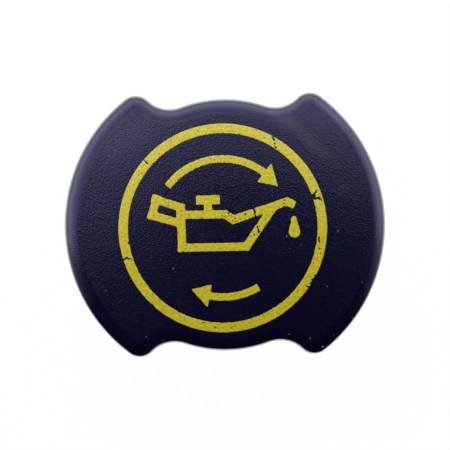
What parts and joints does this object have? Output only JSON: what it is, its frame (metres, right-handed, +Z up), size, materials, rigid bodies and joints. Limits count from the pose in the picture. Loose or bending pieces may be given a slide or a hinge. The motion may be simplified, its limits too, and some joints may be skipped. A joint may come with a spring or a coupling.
{
  "type": "oil filler cap",
  "caption": "Black moulded twist cap for an engine oil filler neck, with a scalloped grip head, a printed oil-can symbol in a ring, a hollow stem with bayonet lugs and a rubber sealing ring.",
  "frame": {"origin": "on the cap's axis in the sealing plane, the underside of the sealing ring where it lies on the filler neck", "axes": "+Z up along the cap's axis through the printed face, +X to one of the two wide sides of the head, +Y to one of its two waists"},
  "size_m": [0.064, 0.0522, 0.0297],
  "materials": {
    "cap_plastic": "moulded, finely grained, satin",
    "seal_rubber": "moulded, smooth, matt",
    "yellow_print": "printed ink, worn"
  },
  "bodies": {
    "root": {"cap_body": "cap_plastic", "sealing_ring": "seal_rubber", "printed_mark": "yellow_print"}
  },
  "joints": []
}
